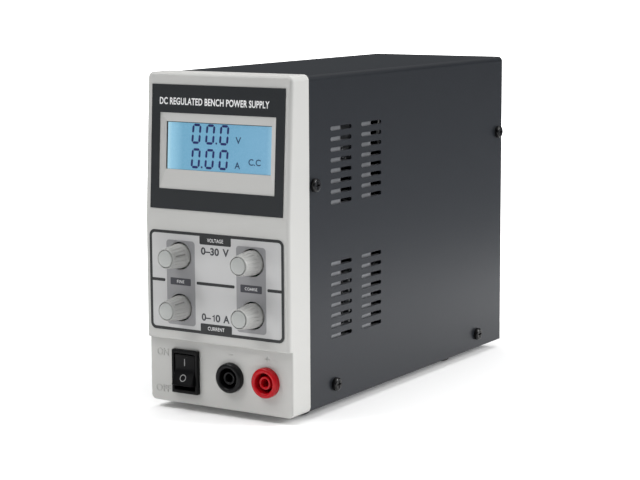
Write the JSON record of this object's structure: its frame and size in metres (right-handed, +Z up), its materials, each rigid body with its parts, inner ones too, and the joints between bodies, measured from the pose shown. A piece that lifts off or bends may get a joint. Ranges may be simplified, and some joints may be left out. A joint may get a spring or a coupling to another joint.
{
  "type": "bench power supply",
  "caption": "Compact upright bench power supply: dark steel case, light moulded front with lit read-out, control knobs, rocker switch, output sockets, rear fan and mains inlet.",
  "frame": {"origin": "centre of the overall footprint, at the level the feet stand on", "axes": "+X to the right seen from the front, +Y from the front panel to the rear panel, +Z up"},
  "size_m": [0.0852, 0.2294, 0.1611],
  "materials": {
    "bezel_plastic": "fine spark-eroded texture, light warm grey",
    "label_dark": "satin printed foil",
    "label_grey": "satin printed foil",
    "lcd": "satin polariser, lit blue",
    "backlight": "moulded light guide",
    "board": "solder mask",
    "component_dark": "moulded",
    "pot_metal": "plated",
    "shaft_metal": "turned",
    "knob_plastic": "satin light grey",
    "black_plastic": "satin",
    "red_plastic": "satin",
    "tin": "tin plate",
    "contact": "nickelled brass",
    "cover_paint": "fine powder coat, dark grey",
    "bare_steel": "galvanised sheet",
    "black_screw": "black oxide",
    "zinc_screw": "bright zinc",
    "chrome_wire": "bright wire",
    "selector_red": "satin",
    "fuse_glass": "clear tube",
    "ferrite": "sintered",
    "winding": "yellow tape",
    "choke_coat": "painted core with enamelled wire",
    "can": "sleeved can",
    "heat_sink": "extruded",
    "foot_rubber": "moulded rubber"
  },
  "bodies": {
    "case": {"front_bezel": "bezel_plastic", "display_label": "label_dark", "control_label": "label_grey", "lcd_panel": "lcd", "lcd_backlight": "backlight", "display_board": "board", "control_board": "board", "switch_housing": "black_plastic", "switch_terminals": "tin", "black_socket": "black_plastic", "red_socket": "red_plastic", "black_socket_contact": "contact", "red_socket_contact": "contact", "socket_nuts": "component_dark", "top_cover": "cover_paint", "chassis": "bare_steel", "cover_screws": "black_screw", "rear_panel": "cover_paint", "panel_screws": "black_screw", "fan_frame": "component_dark", "fan_guard": "chrome_wire", "fan_screws": "zinc_screw", "mains_inlet": "black_plastic", "inlet_pins": "tin", "inlet_screws": "zinc_screw", "selector_housing": "black_plastic", "main_board": "board", "board_standoffs": "contact", "board_screws": "zinc_screw", "transformer_core": "ferrite", "transformer_winding": "winding", "output_choke": "choke_coat", "electrolytic_capacitors": "can", "primary_heat_sink": "heat_sink", "secondary_heat_sink": "heat_sink", "power_transistors": "component_dark", "rubber_feet": "foot_rubber", "foot_screws": "zinc_screw", "voltage_fine_pot": "pot_metal", "voltage_coarse_pot": "pot_metal", "current_fine_pot": "pot_metal", "current_coarse_pot": "pot_metal"},
    "voltage_fine_control": {"voltage_fine_knob": "knob_plastic", "voltage_fine_knob_cap": "knob_plastic", "voltage_fine_shaft": "shaft_metal"},
    "voltage_coarse_control": {"voltage_coarse_knob": "knob_plastic", "voltage_coarse_knob_cap": "knob_plastic", "voltage_coarse_shaft": "shaft_metal"},
    "current_fine_control": {"current_fine_knob": "knob_plastic", "current_fine_knob_cap": "knob_plastic", "current_fine_shaft": "shaft_metal"},
    "current_coarse_control": {"current_coarse_knob": "knob_plastic", "current_coarse_knob_cap": "knob_plastic", "current_coarse_shaft": "shaft_metal"},
    "power_rocker": {"switch_rocker": "black_plastic"},
    "fan": {"fan_rotor": "component_dark"},
    "fuse_carrier": {"fuse_drawer": "black_plastic", "fuse": "fuse_glass"},
    "voltage_selector": {"selector_slider": "selector_red"}
  },
  "joints": [
    {"name": "voltage_fine_turn", "type": "hinge", "parent": "case", "child": "voltage_fine_control", "pos_m": [-0.0205, -0.10505, 0.0754], "axis": [0, 1, 0], "range_deg": [-215, 85]},
    {"name": "voltage_coarse_turn", "type": "hinge", "parent": "case", "child": "voltage_coarse_control", "pos_m": [0.0205, -0.10505, 0.0754], "axis": [0, 1, 0], "range_deg": [0, 300]},
    {"name": "current_fine_turn", "type": "hinge", "parent": "case", "child": "current_fine_control", "pos_m": [-0.0205, -0.10505, 0.0507], "axis": [0, 1, 0], "range_deg": [-215, 85]},
    {"name": "current_coarse_turn", "type": "hinge", "parent": "case", "child": "current_coarse_control", "pos_m": [0.0205, -0.10505, 0.0507], "axis": [0, 1, 0], "range_deg": [0, 300]},
    {"name": "power_rocker_tilt", "type": "hinge", "parent": "case", "child": "power_rocker", "pos_m": [-0.0194, -0.09805, 0.0195], "axis": [1, 0, 0], "range_deg": [0, 24]},
    {"name": "fan_spin", "type": "hinge", "parent": "case", "child": "fan", "pos_m": [0, 0.10195, 0.1165], "axis": [0, 1, 0], "continuous": true},
    {"name": "fuse_drawer_slide", "type": "slide", "parent": "case", "child": "fuse_carrier", "axis": [0, 1, 0], "range_m": [0, 0.014]},
    {"name": "voltage_selector_slide", "type": "slide", "parent": "case", "child": "voltage_selector", "axis": [0, 0, -1], "range_m": [0, 0.006]}
  ]
}
